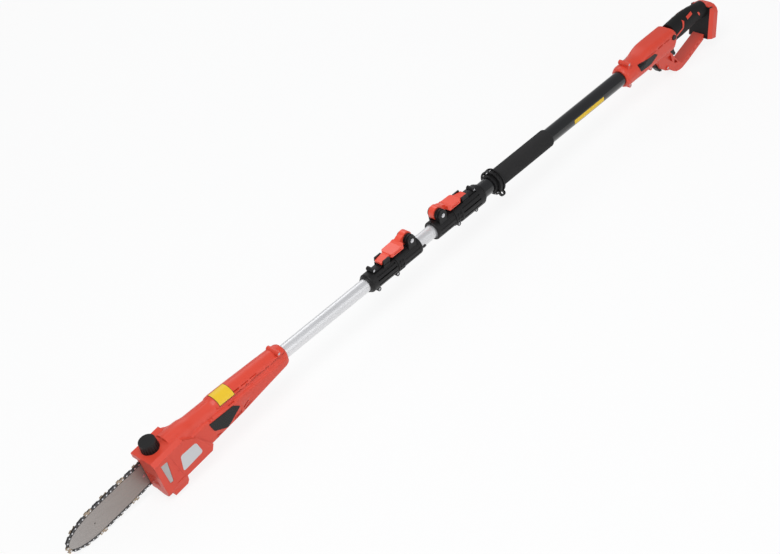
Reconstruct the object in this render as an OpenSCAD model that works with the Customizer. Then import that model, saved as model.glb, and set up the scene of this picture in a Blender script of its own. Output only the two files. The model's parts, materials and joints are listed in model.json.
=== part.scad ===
// Cordless telescoping pole saw: chain saw head, three pole tubes with two
// lever clamps, foam grip, rear handle with trigger and battery foot.
// Origin: on the pole axis, in the middle of the bare stretch of handle tube.
// +X runs along the pole to the handle, +Z is up, the oil tank is on the -Y side.

/* [Pole] */
// Outside diameter of the head tube and the middle tube
slim_od = 26; // [25:0.5:27]
// Wall of the head tube and the middle tube
slim_wall = 1.3; // [1:0.1:1.8]
// Outside diameter of the handle tube
stout_od = 32; // [31.5:0.5:33]
// Wall of the handle tube
stout_wall = 1.5; // [1.2:0.1:1.8]
// Bare handle tube between the foam grip and the handle
bare_len = 242; // [220:1:280]
// Length of the foam grip
foam_len = 156; // [130:1:190]
// Outside diameter of the foam grip
foam_od = 38.5; // [37:0.5:42]
// Room for the strap ring between the foam grip and the rear clamp
ring_room = 52; // [46:1:70]
// Middle tube seen between the two clamps
tube_gap = 45; // [30:1:90]
// Head tube seen between the motor housing and the front clamp
head_tube_bare = 215; // [180:1:260]
// Length of the middle tube
middle_len = 700; // [640:5:720]
// How far a slim tube is pushed into a clamp or the motor housing
seat_len = 60; // [54:1:62]
// How far the handle tube is pushed into the handle
handle_seat = 75; // [60:1:90]
// Radial clearance of a tube that slides in its bush
slide_clear = 0.1; // [0.05:0.01:0.2]
// Clearance between a moving piece and the piece beside it
gap = 0.3; // [0.2:0.05:0.4]

/* [Lever clamps] */
// Length of a clamp
clamp_len = 140; // [136:1:150]
// Wall of the clamp over the stout tube
clamp_wall = 3.2; // [2.8:0.1:4]
// Length of the split bush inside a clamp
bush_len = 60; // [54:1:62]
// Wall of the split bush
bush_wall = 2; // [1.6:0.1:2.2]
// Distance of the lever's axis from the clamp's open end
hinge_in = 21.5; // [20:0.5:24]
// Height of the lever's axis above the pole axis
hinge_up = 29.2; // [29:0.2:31]
// Radius of the lever's cam eye
cam_r = 12.8; // [12:0.2:13]
// How far the cam eye bulges upward off its axis
cam_bulge = 1.9; // [1:0.1:2.2]
// Radius of the clamp's hinge ears
ear_r = 11.5; // [10.5:0.25:12]
// Distance from the lever's axis to its free end
lever_len = 78; // [74:1:82]
// Width of the lever's thumb pad
lever_pad_w = 28; // [24:1:30]
// Width of the lever's free end
lever_tip_w = 17; // [14:1:20]
// Diameter of the clamp bolt
bolt_d = 5; // [4:0.5:6]

/* [Bar and chain] */
// Length of bar that stands out of the head
bar_out = 178; // [150:1:230]
// Length of bar inside the head
bar_in = 56; // [50:1:57]
// Height of the bar at its middle
bar_h = 50; // [46:1:52]
// Thickness of the bar
bar_t = 4; // [3.6:0.1:4.4]
// Length of the bar's elliptical nose
nose_len = 70; // [50:1:90]
// Depth of the groove in the bar's rim
groove_d = 6; // [5:0.5:8]
// Rivet spacing that the chain is built to
chain_pitch = 9.525; // [8:0.025:10.5]
// Height of the rivet line above the bar's rim
rivet_up = 3.4; // [3.2:0.1:3.8]
// Thickness of a chain plate
plate_t = 1.2; // [1:0.05:1.3]
// Radius of the rivet line round the sprocket
wrap_r = 18; // [17.5:0.25:18.5]
// Teeth on the drive sprocket
sprocket_teeth = 7; // [6:1:8]

/* [Head] */
// Angle of the saw head below the pole
head_pitch = 7; // [4:0.5:9]
// Distance from the motor housing's tube mouth to the head's front face
head_reach = 333; // [330:1:345]
// Height of the head's datum above the pole axis
head_up = 8; // [6:0.5:9]
// Width of the head to each side of the pole
head_half_w = 30; // [29:0.5:31]
// Top face above the head's datum
head_top = 6; // [5:0.5:7]
// Bottom face below the head's datum
head_bottom = 72; // [70:0.5:76]
// Height of the bar's centre line below the head's datum
bar_drop = 40.5; // [39:0.5:41]
// Side of the bar that faces the oil tank
bar_side = 15; // [15:0.25:15.5]
// Distance of the sprocket axis from the head's front face
spindle_x = 80; // [80:0.5:82]
// Wall of the plastic housings
shell_wall = 2.4; // [2:0.1:3]
// Diameter of the oil cap at its foot
oil_cap_d = 34; // [30:0.5:36]
// Height of the oil cap
oil_cap_h = 18; // [14:0.5:22]
// Diameter of the motor can
motor_d = 42; // [38:0.5:43]
// Length of the motor can
motor_len = 74; // [60:1:80]

/* [Handle] */
// Length from the handle's front to the front of the rear grip
body_len = 172; // [168:1:178]
// Half width of the handle body
body_half_w = 23; // [22:0.5:24]
// Half width of the rear grip
grip_half_w = 18.5; // [17:0.5:20]
// Half width of the battery foot with its red shell
foot_half_w = 30; // [29:0.5:33]
// Half width of the black face of the battery foot
foot_face_w = 24; // [22:0.5:25]
// Depth of the battery foot along its own lean
foot_depth = 22.5; // [20:0.5:28]
// Lean of the battery foot
foot_lean = 13.5; // [8:0.5:16]
// Half width of the hand guard
guard_half_w = 14; // [12:0.5:15]
// Half width of the trigger
trigger_half_w = 7; // [6:0.5:8]

/* [Hidden] */
$fn = 48;

// Colours
red = [0.86, 0.25, 0.18];
black = [0.1, 0.1, 0.11];
steel = [0.7, 0.7, 0.72];
alu = [0.82, 0.82, 0.84];
brass = [0.75, 0.6, 0.3];
far = 400;

// Places along the pole
handle_x = bare_len / 2;
foam_x = -bare_len / 2 - foam_len;
clamp_2_x = foam_x - ring_room - clamp_len;
clamp_1_x = clamp_2_x - tube_gap;
socket_x = clamp_1_x - clamp_len - head_tube_bare;
head_x = socket_x - head_reach;
slim_r = slim_od / 2;
stout_r = stout_od / 2;
middle_x = clamp_1_x - seat_len;
fixed_from = seat_len + 6;

// ---------------------------------------------------------------- helpers

// A round bar along X from x0 to x1
module rod_x(r, x0, x1) {
    translate([x0, 0, 0]) rotate([0, 90, 0]) cylinder(r = r, h = x1 - x0);
}

// A round bar along Y from y0 to y1
module rod_y(r, y0, y1) {
    translate([0, y0, 0]) rotate([-90, 0, 0]) cylinder(r = r, h = y1 - y0);
}

// A box given by its low and high corners
module span(low, high) {
    translate(low) cube(high - low);
}

// An outline of [x, z] points drawn from y0 to y1
module slab_y(points, y0, y1) {
    translate([0, y1, 0]) rotate([90, 0, 0]) linear_extrude(y1 - y0) polygon(points);
}

// An outline of [y, z] points drawn from x0 to x1
module slab_x(points, x0, x1) {
    translate([x0, 0, 0]) rotate([90, 0, 90]) linear_extrude(x1 - x0) polygon(points);
}

// A ring along X
module tube_x(outer_r, inner_r, x0, x1) {
    difference() {
        rod_x(outer_r, x0, x1);
        rod_x(inner_r, x0 - 1, x1 + 1);
    }
}

// Quarter of a round corner in [y, z]
function corner(cy, cz, r, from) =
    [for (i = [0 : 5]) [cy + r * cos(from + 18 * i), cz + r * sin(from + 18 * i)]];

// Section [y, z] of half width w from bottom to top with rounded corners
function section(w, top, bottom, top_r, bottom_r) = concat(
    corner(w - top_r, top - top_r, top_r, 0), corner(top_r - w, top - top_r, top_r, 90),
    corner(bottom_r - w, bottom + bottom_r, bottom_r, 180),
    corner(w - bottom_r, bottom + bottom_r, bottom_r, 270));

// Skin drawn through rings of [y, z] points that stand at the places in xs
module skin(xs, rings) {
    m = len(xs);
    n = len(rings[0]);
    points = [for (k = [0 : m - 1], p = rings[k]) [xs[k], p[0], p[1]]];
    sides = [for (k = [0 : m - 2], i = [0 : n - 1]) let (a = k * n + i, b = k * n + (i + 1) % n)
        for (f = [[a, a + n, b], [b, a + n, b + n]]) f];
    polyhedron(points, concat([[for (i = [0 : n - 1]) i]], sides,
        [[for (i = [n - 1 : -1 : 0]) (m - 1) * n + i]]));
}

// Keeps the half of its children on one side of the pole: side is -1 or 1
module half(side) {
    intersection() {
        union() children();
        translate([-1500, side < 0 ? -far : 0, -far]) cube([2200, far, 2 * far]);
    }
}

// A screw along Y: head on the -Y side at y0, shank to y1
module screw_y(x, z, y0, y1, head_r = 2.6, shank_r = 1.4) {
    translate([x, 0, z]) {
        difference() {
            rod_y(head_r, y0, y0 + 1.8);
            translate([0, y0 - 0.01, 0]) rotate([-90, 0, 0]) cylinder(r = 1.2, h = 1, $fn = 6);
        }
        rod_y(shank_r, y0 + 1.8, y1);
    }
}

// The hole that a screw of screw_y fills
module screw_hole_y(x, z, y0, y1, head_r = 2.6, shank_r = 1.4) {
    translate([x, 0, z]) {
        rod_y(head_r, y0 - 10, y0 + 1.8);
        rod_y(shank_r, y0 + 1, y1);
    }
}

// ---------------------------------------------------------------- pole tubes

module handle_tube() {
    color(black)
    tube_x(stout_r, stout_r - stout_wall, clamp_2_x + fixed_from, handle_x + handle_seat);
}

module middle_tube() {
    color(alu)
    difference() {
        tube_x(slim_r, slim_r - slim_wall, middle_x, middle_x + middle_len);
        button_place() translate([0, 0, -6]) cylinder(r = button_r - 1, h = 12);
    }
}

module head_tube() {
    color(alu)
    tube_x(slim_r, slim_r - slim_wall, socket_x - seat_len, clamp_1_x - fixed_from);
}

// Ring on the hidden end of the middle tube that runs in the handle tube
bush_run = 30;
module slide_bush() {
    color("dimgray")
    tube_x(stout_r - stout_wall - slide_clear, slim_r,
        middle_x + middle_len - bush_run, middle_x + middle_len);
}

// Stop button in the middle tube, just behind the front clamp
button_r = 4;
button_high = 2;
module button_place() {
    translate([clamp_1_x + 9, 0, 0]) rotate([115, 0, 0]) translate([0, 0, slim_r]) children();
}
module stop_button() {
    color(black)
    intersection() {
        button_place() union() {
            translate([0, 0, -3]) cylinder(r = button_r - 1, h = 3 + button_high);
            translate([0, 0, -0.6]) cylinder(r = button_r, h = 0.6 + button_high);
        }
        difference() {
            rod_x(slim_r + button_high, clamp_1_x, clamp_1_x + 18);
            difference() {
                rod_x(slim_r, clamp_1_x - 1, clamp_1_x + 19);
                button_place() translate([0, 0, -6]) cylinder(r = button_r - 1, h = 12);
                rod_x(slim_r - slim_wall - 1.5, clamp_1_x - 2, clamp_1_x + 20);
            }
        }
    }
}

// ---------------------------------------------------------------- lever clamps

body_r = stout_r + clamp_wall;
bush_r = slim_r + slide_clear + bush_wall;
ear_near = -15.5;
ear_in = -3.2;
ear_far = 15;
cam_lo = ear_in + gap;
cam_hi = 10.4;
tip_ear_t = 3.2;
tip_ear_u = [lever_len - 19, lever_len - 3];
top_boss_u = hinge_in + 98;
low_boss_u = [hinge_in + 44, hinge_in + 95];
boss_r = 4.2;
boss_z = body_r + 3.4;
panel_u = [hinge_in + 30, hinge_in + 47];

// Clamp 1 opens toward the handle, clamp 2 toward the head
module at_clamp(n) {
    if (n == 1) translate([clamp_1_x, 0, 0]) mirror([1, 0, 0]) children();
    else translate([clamp_2_x, 0, 0]) children();
}

// Outside of a clamp: a round body with a rounded open end and a thin lip
module clamp_body(fixed_r) {
    lip_r = fixed_r + 2.5;
    // The body steps out where it holds the stout tube
    rear_r = fixed_r > slim_r ? body_r + 2.8 : body_r;
    rotate([0, 90, 0]) rotate_extrude() polygon(concat(
        [[0, 0], [body_r - 2.5, 0]],
        [for (a = [0 : 18 : 90]) [body_r - 2.5 + 2.5 * sin(a), 2.5 - 2.5 * cos(a)]],
        [[body_r, panel_u[1] - 3], [rear_r, panel_u[1]], [rear_r, clamp_len - 6],
        [rear_r - 1.2, clamp_len - 4], [lip_r + 1, clamp_len - 3], [lip_r, clamp_len], [0, clamp_len]]));
    // Raised band that carries the grid panel
    rod_x(body_r + 1.3, panel_u[0], panel_u[1]);
    // Transverse screw bosses
    translate([top_boss_u, 0, boss_z]) rod_y(boss_r, -9, 9);
    span([top_boss_u - boss_r + 1, -9, 10], [top_boss_u + boss_r - 1, 9, boss_z]);
    for (u = low_boss_u) {
        translate([u, 0, -boss_z]) rod_y(boss_r, -9, 9);
        span([u - boss_r + 1, -9, -boss_z], [u + boss_r - 1, 9, -10]);
    }
    // Hinge ears: turned discs on the near side, a plain ear on the far side
    translate([hinge_in, 0, hinge_up]) {
        rod_y(ear_r, ear_in - 3.4, ear_in);
        rod_y(ear_r - 1.6, ear_near + 1, ear_in - 3);
        rod_y(ear_r, ear_in - 8.2, ear_in - 4.8);
        rod_y(ear_r - 1, ear_near, ear_in - 9.6);
        rod_y(ear_r - 1.5, cam_hi + gap, ear_far);
    }
    span([hinge_in - ear_r + 1.7, ear_near + 1, 8], [hinge_in + ear_r - 1.7, ear_in, hinge_up]);
    span([hinge_in - ear_r + 2.4, cam_hi + gap, 8], [hinge_in + ear_r - 2.4, ear_far, hinge_up]);
    // Ears that hold the lever's free end
    for (s = [-1, 1]) {
        y = s * (lever_tip_w / 2 + 0.8 + tip_ear_t / 2);
        slab_y([[hinge_in + tip_ear_u[0] + 3, 8], [hinge_in + tip_ear_u[1] + 3, 8],
            [hinge_in + tip_ear_u[1], hinge_up + 1], [hinge_in + tip_ear_u[0] - 1, hinge_up + 1],
            [hinge_in + tip_ear_u[0], hinge_up - 7]], y - tip_ear_t / 2, y + tip_ear_t / 2);
    }
    // Low wall between the two ears, under the lever's tip
    span([hinge_in + tip_ear_u[1] - 2, -lever_tip_w / 2 - 1, 10],
        [hinge_in + tip_ear_u[1] + 2, lever_tip_w / 2 + 1, hinge_up - 10.5]);
}

// Everything cut out of a clamp body
module clamp_cuts(fixed_r, through_r) {
    rod_x(bush_r, -1, bush_len + 2);
    rod_x(through_r, -1, clamp_len);
    rod_x(fixed_r, fixed_from, clamp_len + 1);
    // Room for the lever's cam
    translate([hinge_in, 0, hinge_up]) {
        rod_y(cam_r + cam_bulge + gap, ear_in, cam_hi + gap);
        rod_y(bolt_d / 2, -far, far);
        translate([0, ear_near - 1, 0]) rotate([-90, 0, 0]) cylinder(r = 4.7, h = 2.2, $fn = 6);
    }
    // Split that lets the clamp close on the bush
    span([-1, -0.6, 12], [hinge_in + 24, 0.6, hinge_up]);
    // Long flutes
    for (a = [-62, -38, -14, 14, 38, 62], s = [0, 180])
        rotate([s + a, 0, 0]) span([8, -body_r - 2, -1.4], [panel_u[0] - 3, -body_r + 0.9, 1.4]);
    for (a = [-62, -38, -14, 14, 38, 62], s = [0, 180])
        rotate([s + a, 0, 0]) span([panel_u[1] + 3, -body_r - 6, -1.4],
            [clamp_len - 18, -fixed_r - 3.2, 1.4]);
    // Grid of square pockets
    for (a = [-48, -24, 0, 24], s = [0, 180], u = [panel_u[0] + 5, panel_u[1] - 5])
        rotate([s - a, 0, 0]) span([u - 2.5, -body_r - 3, -2.6], [u + 2.5, -body_r - 0.1, 2.6]);
    screw_hole_y(top_boss_u, boss_z, -8.6, 7);
    for (u = low_boss_u) screw_hole_y(u, -boss_z, -8.6, 7);
}

module clamp_half(n, side) {
    fixed_r = n == 1 ? slim_r : stout_r;
    through_r = n == 1 ? slim_r - slim_wall : slim_r + 0.6;
    color(black)
    at_clamp(n) half(side) difference() {
        clamp_body(fixed_r);
        clamp_cuts(fixed_r, through_r);
    }
}

module clamp_lever(n) {
    color(red)
    at_clamp(n) translate([hinge_in, 0, hinge_up]) difference() {
        union() {
            rod_y(cam_r, cam_lo, cam_hi);
            translate([0, 0, cam_bulge]) rod_y(cam_r, cam_lo, cam_hi);
            slab_y([[2, 13.5], [14, 10], [24, 5], [26, -3], [12, -5], [0, -8]], cam_lo, cam_hi);
            intersection() {
                slab_y([[20, 6.5], [28, 4.2], [54, 3.2], [64, 0.8], [66, -3], [60, -4], [22, -4],
                    [18, 0]], -lever_pad_w / 2, lever_pad_w / 2);
                union() {
                    span([24, -lever_pad_w / 2, -20], [50, lever_pad_w / 2, 20]);
                    span([18, -lever_pad_w / 2 + 5, -20], [55, lever_pad_w / 2 - 5, 20]);
                    for (u = [24, 50], s = [-1, 1])
                        translate([u, s * (lever_pad_w / 2 - 5), -20]) cylinder(r = 5, h = 40);
                }
            }
            slab_y([[50, 3], [60, 0.8], [lever_len, -2.6], [lever_len, -6.6], [66, -6.2], [50, -4]],
                -lever_tip_w / 2, lever_tip_w / 2);
        }
        rod_y(bolt_d / 2 + 0.05, -far, far);
        // Slot moulded into the pad's edge
        for (s = [-1, 1])
            translate([0, s * lever_pad_w / 2, 0]) span([28, -1.4, -1.6], [48, 1.4, 0]);
    }
}

module clamp_bolt(n) {
    color(steel)
    at_clamp(n) translate([hinge_in, 0, hinge_up]) {
        rod_y(bolt_d / 2, ear_near - 1.8, ear_far + 0.5);
        difference() {
            translate([0, ear_near - 1, 0]) rotate([-90, 0, 0]) cylinder(r = 4.6, h = 2.2, $fn = 6);
            rod_y(bolt_d / 2 - 0.2, ear_near - 3, ear_near - 0.4);
        }
        rod_y(bolt_d - 0.8, ear_far, ear_far + 2);
    }
}

module clamp_bush(n) {
    color("dimgray")
    at_clamp(n) difference() {
        tube_x(bush_r, slim_r + slide_clear, 0.5, bush_len);
        span([-1, -1, 5], [bush_len - 8, 1, 20]);
        for (a = [120, 240]) rotate([a, 0, 0]) span([-1, -1, 5], [bush_len - 20, 1, 20]);
    }
}

module clamp_screws(n) {
    color(steel)
    at_clamp(n) {
        screw_y(top_boss_u, boss_z, -8.6, 7);
        for (u = low_boss_u) screw_y(u, -boss_z, -8.6, 7);
    }
}

// ---------------------------------------------------------------- strap ring and foam

ring_w = 24;
ring_flange_r = stout_r + 10;
eye_reach = stout_r + 12;
module strap_ring() {
    x1 = foam_x - gap;
    color(black)
    difference() {
        union() {
            rod_x(stout_r + 3.4, x1 - ring_w, x1);
            rod_x(ring_flange_r, x1 - 17, x1 - 13.6);
            rod_x(ring_flange_r - 2.4, x1 - 14, x1 - 5);
            rod_x(ring_flange_r, x1 - 7, x1 - 4);
            // Lug with the eye for the strap hook
            rotate([-45, 0, 0]) {
                translate([x1 - 11, 0, -eye_reach]) rod_y(6.4, -3, 3);
                span([x1 - 22, -3, -stout_r - 9], [x1 - 6, 3, -stout_r - 1]);
            }
        }
        rod_x(stout_r, x1 - 40, x1 + 1);
        rotate([-45, 0, 0]) translate([x1 - 11, 0, -eye_reach]) rod_y(3.6, -20, 20);
        // Strap windows through the upper rim
        for (a = [-66, -44, -22, 0, 22, 44])
            rotate([a, 0, 0]) span([x1 - 18, -4, stout_r + 3.6], [x1 + 1, 4, stout_r + 7.4]);
        // Split beside the lug
        rotate([-45, 0, 0]) span([x1 - 40, -0.5, -stout_r - 7], [x1 - 17.5, 0.5, -stout_r + 3]);
    }
}

module strap_ring_screw() {
    x1 = foam_x - gap;
    color(steel)
    rotate([-45, 0, 0]) translate([x1 - 20, 0, -stout_r - 6.4]) {
        rod_y(2, 3, 4.8);
        rod_y(2, -4.8, -3);
    }
}

module foam_grip() {
    color([0.2, 0.2, 0.21])
    difference() {
        rotate([0, 90, 0]) rotate_extrude() translate([0, foam_x]) polygon(concat(
            [[0, 0]],
            [for (a = [0 : 18 : 90]) [foam_od / 2 - 2 + 2 * sin(a), 2 - 2 * cos(a)]],
            [for (a = [0 : 18 : 90]) [foam_od / 2 - 2 + 2 * cos(a), foam_len - 2 + 2 * sin(a)]],
            [[0, foam_len]]));
        rod_x(stout_r, foam_x - 1, foam_x + foam_len + 1);
    }
}

// ---------------------------------------------------------------- saw head frame

// Head frame: x from the front face toward the handle, z up, pitched below the pole
module at_head() {
    translate([head_x, 0, head_up]) rotate([0, -head_pitch, 0]) children();
}

bar_y = [bar_side, bar_side + bar_t];
chain_y = bar_side + bar_t / 2;
case_y = bar_side - 2;
spindle_z = -bar_drop;
cap_x = 26;
cap_y = 5.5;
cap_r = oil_cap_d / 2;
neck_r = 11;

// ---------------------------------------------------------------- guide bar

// Half height of the bar at distance u from its tip, for an outline drawn in by inset
function bar_half(u, inset) =
    let (h = bar_h / 2 - inset, n = nose_len - inset, v = max(0, min(1, (u - inset) / n)))
    h * sqrt(1 - pow(1 - v, 2)) - (u > bar_out - 50 ? (u - bar_out + 50) * 0.035 : 0);

// Places along the bar, close together round the nose
nose_steps = 14;
function bar_us(inset) = concat(
    [for (i = [0 : nose_steps]) inset + (nose_len - inset) * (1 - cos(90 * i / nose_steps))],
    [bar_out - 50, bar_out + bar_in - 12]);

function bar_edge(inset, side) =
    [for (u = bar_us(inset)) [u - bar_out, side * bar_half(u, inset) - bar_drop]];

function reversed(list) = [for (i = [len(list) - 1 : -1 : 0]) list[i]];

module bar_outline(inset, tail) {
    top = bar_edge(inset, 1);
    bottom = bar_edge(inset, -1);
    polygon(concat(reversed(top), [for (i = [1 : len(bottom) - 1]) bottom[i]],
        [[bar_in - tail, -bar_drop - bar_h / 2 + 8 + inset],
         [bar_in - tail, -bar_drop + bar_h / 2 - 8 - inset]]));
}

stud_x = 34;
module guide_bar() {
    color([0.6, 0.58, 0.57])
    at_head() translate([0, bar_y[1], 0]) rotate([90, 0, 0]) difference() {
        linear_extrude(bar_t) bar_outline(0, 0);
        translate([0, 0, (bar_t - 1.6) / 2]) linear_extrude(1.6) difference() {
            translate([-bar_out - 5, -bar_drop - bar_h]) square([bar_out + bar_in + 20, 2 * bar_h]);
            bar_outline(groove_d, groove_d);
        }
        // Slot for the stud, tensioner holes and index holes
        translate([0, -bar_drop, -1]) {
            hull() {
                translate([stud_x - 12, 0, 0]) cylinder(r = 4.1, h = bar_t + 2, $fn = 32);
                translate([stud_x + 12, 0, 0]) cylinder(r = 4.1, h = bar_t + 2, $fn = 32);
            }
            for (s = [-1, 1]) translate([16, s * 9, 0]) cylinder(r = 2.6, h = bar_t + 2);
            translate([-bar_out + 58, 0, 0]) cylinder(r = 1.6, h = bar_t + 2);
            translate([-5, 0, 0]) cylinder(r = 2.4, h = bar_t + 2);
        }
    }
}

module bar_rivet() {
    color(steel)
    at_head() translate([-5, 0, -bar_drop]) {
        rod_y(2.4, bar_y[0], bar_y[1]);
        rod_y(3, bar_y[0] - 0.9, bar_y[0]);
        rod_y(3, bar_y[1], bar_y[1] + 0.9);
    }
}

// ---------------------------------------------------------------- saw chain

// Rivet line: the bar's rim moved out by rivet_up, then round the sprocket
function unit(v) = v / norm(v);
function moved_out(points, distance) =
    [for (i = [0 : len(points) - 1])
        let (a = points[max(0, i - 1)], b = points[min(len(points) - 1, i + 1)], t = unit(b - a))
        points[i] + distance * [t[1], -t[0]]];

rim = concat(reversed(bar_edge(0, 1)), [for (i = [1 : nose_steps + 2]) bar_edge(0, -1)[i]]);
// The rim runs from the bar's top root round the nose to its bottom root
rim_path = moved_out([for (p = rim) if (p[0] <= bar_in - 12) p], rivet_up);
wrap_path = [for (a = [-80 : 10 : 80]) [spindle_x + wrap_r * cos(a), spindle_z + wrap_r * sin(a)]];
chain_path = concat(rim_path, wrap_path);
path_n = len(chain_path);

function step_len(i) = norm(chain_path[(i + 1) % path_n] - chain_path[i]);
function sums(i = 0, total = 0) = i > path_n ? [] : concat([total], sums(i + 1, total + step_len(i % path_n)));
path_sum = sums();
path_len = path_sum[path_n];
link_n = 2 * round(path_len / chain_pitch / 2);
function on_path(s, i = 0) =
    path_sum[i + 1] >= s || i == path_n - 1
        ? let (k = (s - path_sum[i]) / step_len(i))
          chain_path[i] * (1 - k) + chain_path[(i + 1) % path_n] * k
        : on_path(s, i + 1);
rivets = [for (i = [0 : link_n - 1]) on_path(i * path_len / link_n)];

// Puts a link drawn from [0, 0] to [span, 0], outward up, between two rivets.
// It is drawn flat and stands from y0 toward -Y by t.
module link_place(i, y0) {
    a = rivets[i];
    b = rivets[(i + 1) % link_n];
    angle = atan2(b[1] - a[1], b[0] - a[0]);
    translate([a[0], y0, a[1]]) rotate([0, -angle, 0]) rotate([90, 0, 0]) mirror([0, 1, 0]) children();
}
function link_span(i) = norm(rivets[(i + 1) % link_n] - rivets[i]);

rivet_r = 1.6;
hole_r = rivet_r + 0.08;
side_gap = 0.08;
module link_holes(c) {
    circle(r = hole_r, $fn = 20);
    translate([c, 0]) circle(r = hole_r, $fn = 20);
}

// Tie strap outline: a figure of eight with a nearly straight waist
module strap_outline(c) {
    difference() {
        union() {
            circle(r = 2.7, $fn = 20);
            translate([c, 0]) circle(r = 2.7, $fn = 20);
            translate([0, -2.2]) square([c, 4.6]);
        }
        link_holes(c);
    }
}

// Drive link outline: the tang runs inward into the bar's groove
tang = 7.6;
module drive_outline(c) {
    difference() {
        union() {
            circle(r = 2.5, $fn = 20);
            translate([c, 0]) circle(r = 2.5, $fn = 20);
            polygon([[0, 2.1], [c, 2.1], [c, -2.3], [c - 1.4, -5], [c / 2 + 1, -tang],
                [c / 2 - 1, -tang], [1.4, -5], [0, -2.3]]);
        }
        link_holes(c);
    }
}

// Cutter outline: depth gauge ahead, heel and tooth behind
cutter_h = 5.2;
module cutter_outline(c) {
    difference() {
        union() {
            circle(r = 2.7, $fn = 20);
            translate([c, 0]) circle(r = 2.7, $fn = 20);
            polygon([[-2.6, -0.5], [-3, cutter_h - 1.4], [-0.6, cutter_h - 0.9], [1.2, 2.8],
                [c - 4.2, 2.6], [c - 3.2, cutter_h], [c + 2.8, cutter_h - 0.7], [c + 2.6, 0],
                [c, -2.3], [0, -2.3]]);
        }
        link_holes(c);
    }
}

module chain_drive_links() {
    color([0.25, 0.25, 0.27])
    at_head() for (i = [0 : 2 : link_n - 1])
        link_place(i, chain_y + plate_t / 2) linear_extrude(plate_t) drive_outline(link_span(i));
}

// Which side carries a cutter at the k-th pair of side plates: -1, 1 or none
function cutter_side(k) = k % 4 == 0 ? -1 : k % 4 == 2 ? 1 : 0;

module chain_tie_straps() {
    color([0.2, 0.2, 0.21])
    at_head() for (k = [0 : link_n / 2 - 1], s = [-1, 1]) {
        i = 2 * k + 1;
        y0 = s < 0 ? chain_y - plate_t / 2 - side_gap : chain_y + 1.5 * plate_t + side_gap;
        if (cutter_side(k) != s)
            link_place(i, y0) linear_extrude(plate_t) strap_outline(link_span(i));
    }
}

module chain_cutters() {
    color([0.55, 0.5, 0.42])
    at_head() for (k = [0 : link_n / 2 - 1]) {
        i = 2 * k + 1;
        s = cutter_side(k);
        c = link_span(i);
        y0 = s < 0 ? chain_y - plate_t / 2 - side_gap : chain_y + 1.5 * plate_t + side_gap;
        if (s != 0) {
            link_place(i, y0) linear_extrude(plate_t) cutter_outline(c);
            // Top plate of the tooth, bent in over the drive links
            link_place(i, s < 0 ? chain_y + 0.6 : y0) linear_extrude(2.6)
                polygon([[c - 3.1, cutter_h - 1], [c - 3.1, cutter_h], [c + 3, cutter_h - 0.7],
                    [c + 3, cutter_h - 1.7]]);
        }
    }
}

module chain_rivets() {
    color(steel)
    at_head() for (p = rivets)
        translate([p[0], 0, p[1]]) rod_y(rivet_r, chain_y - 1.5 * plate_t - side_gap - 0.5,
            chain_y + 1.5 * plate_t + side_gap + 0.5, $fn = 20);
}

// ---------------------------------------------------------------- drive train

gear_teeth = 24;
pinion_teeth = 8;
gear_pitch_r = 15;
pinion_pitch_r = gear_pitch_r * pinion_teeth / gear_teeth;
gear_face = 4.5;
tooth_h = 1.1;
cone_len = norm([gear_pitch_r, pinion_pitch_r]);
shrink = 1 - gear_face / cone_len;

// Outline of a gear with n teeth on pitch radius r
function gear_outline(n, r, turn) = [for (i = [0 : n - 1], k = [0 : 3])
    let (a = (i + turn + [-0.22, -0.07, 0.07, 0.22][k]) * 360 / n,
        q = k == 0 || k == 3 ? r - tooth_h : r + 0.3 * tooth_h)
    [q * cos(a), q * sin(a)]];

// A bevel gear about Z: apex at the origin, large end at z = -reach, teeth along the cone
module bevel(pitch_r, reach, teeth, turn) {
    translate([0, 0, -reach]) linear_extrude(reach * (1 - shrink), scale = shrink)
        polygon(gear_outline(teeth, pitch_r, turn));
}

shaft_r = 2.5;
spindle_r = 5;
pinion_bore = shaft_r;

// The motor's shaft lies along the head frame's x axis through the spindle's axis
module at_spindle() {
    at_head() translate([spindle_x, 0, spindle_z]) children();
}

motor_x = 30;
module motor_can() {
    color(steel)
    at_spindle() {
        difference() {
            rod_x(motor_d / 2, motor_x, motor_x + motor_len);
            rod_x(shaft_r + 0.05, motor_x - 1, motor_x + motor_len + 1);
            rod_x(motor_d / 2 - 3, motor_x + 4, motor_x + motor_len - 4);
        }
        difference() {
            rod_x(8, motor_x - 3, motor_x);
            rod_x(shaft_r + 0.05, motor_x - 4, motor_x + 1);
        }
    }
}

module motor_shaft() {
    color(steel)
    at_spindle() {
        rod_x(shaft_r, gear_pitch_r * shrink - 1, motor_x + motor_len + 6);
        // Rotor core on the shaft, clear of the can
        tube_x(motor_d / 2 - 5, shaft_r, motor_x + 10, motor_x + motor_len - 12);
    }
}

module pinion() {
    color(steel)
    at_spindle() difference() {
        rotate([0, -90, 0]) bevel(pinion_pitch_r, gear_pitch_r, pinion_teeth, 0.5);
        rod_x(pinion_bore, -30, 60);
    }
}

module bevel_gear() {
    color([0.5, 0.5, 0.52])
    at_spindle() difference() {
        union() {
            rotate([90, 0, 0]) bevel(gear_pitch_r, pinion_pitch_r, gear_teeth, 0);
            rod_y(gear_pitch_r - 1, pinion_pitch_r, pinion_pitch_r + 2);
        }
        rod_y(spindle_r, -30, 60);
    }
}

module spindle() {
    color(steel)
    at_spindle() difference() {
        union() {
            rod_y(spindle_r, pinion_pitch_r * shrink - 0.4, chain_y + 6);
            rod_y(3, -19, pinion_pitch_r * shrink);
        }
        rod_x(pinion_pitch_r, 5, 30);
    }
}

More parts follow.
